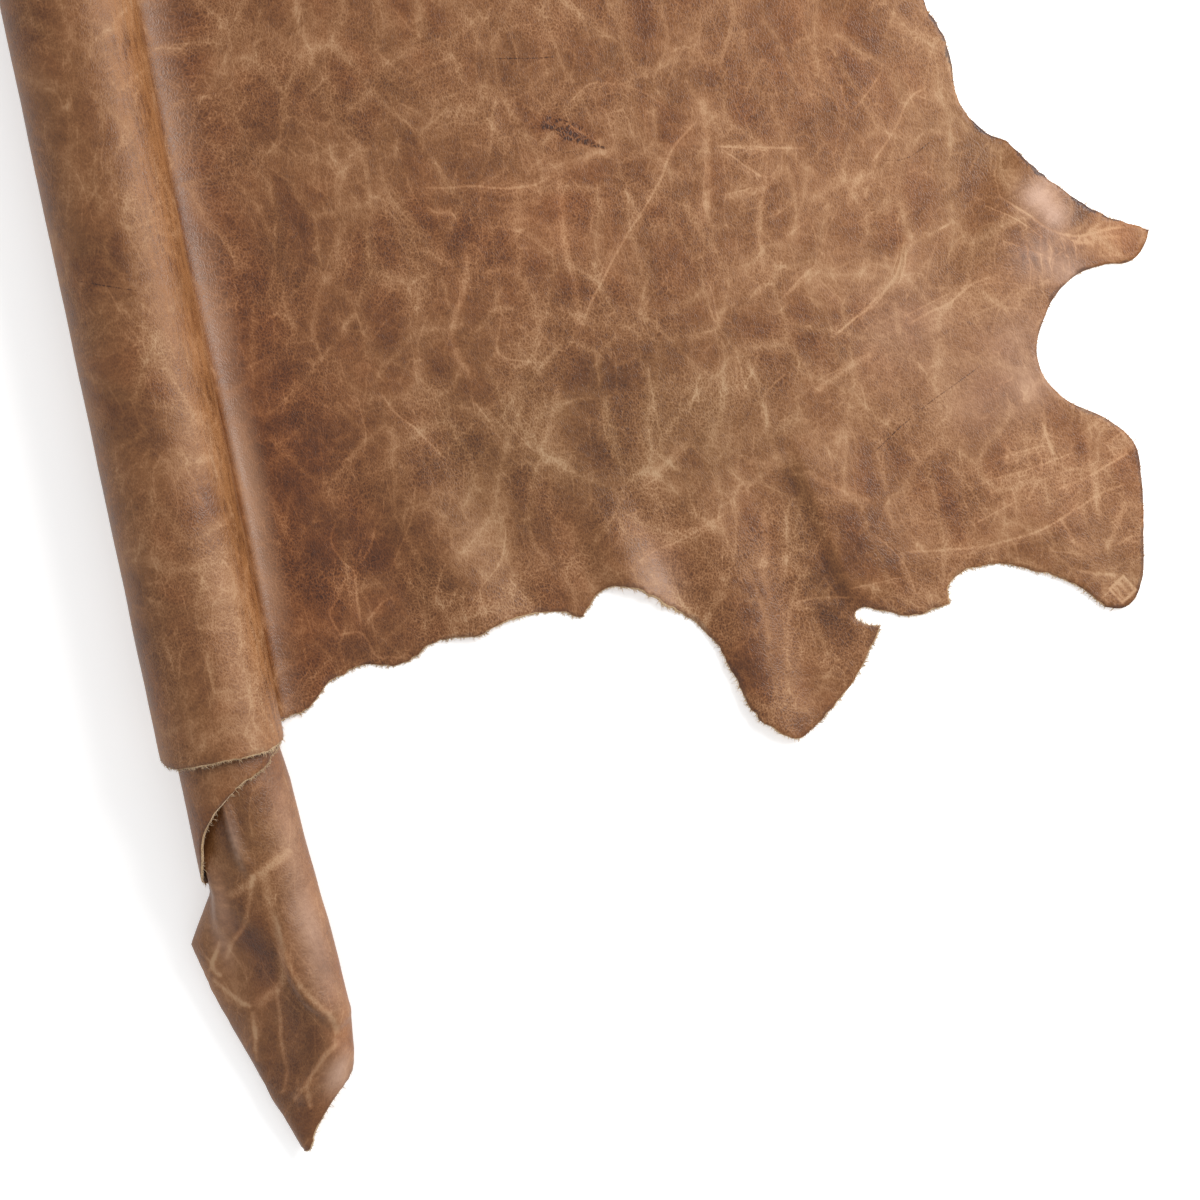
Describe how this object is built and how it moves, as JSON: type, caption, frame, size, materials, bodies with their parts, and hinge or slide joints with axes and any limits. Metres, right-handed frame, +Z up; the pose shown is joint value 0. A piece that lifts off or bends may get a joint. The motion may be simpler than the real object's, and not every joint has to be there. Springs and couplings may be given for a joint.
{
  "type": "leather side",
  "caption": "Half hide of waxed brown leather, grain side up, lying half open on the floor with the rest wound into a loose roll; stock for cutting upholstery and bags",
  "frame": {"origin": "centre of the footprint box, on the floor", "axes": "+Z up off the floor; the roll and the backbone's cut edge at right angles to it give the other two: +Y along the roll, from the shank's tip to the backbone; +X from the roll across the open half"},
  "size_m": [1.0808, 1.4178, 0.1041],
  "materials": {
    "leather": "waxed pull-up grain, soft gloss, with pale crease marks and a pale fibrous cut edge"
  },
  "bodies": {
    "root": {"leather_side": "leather"}
  },
  "joints": []
}
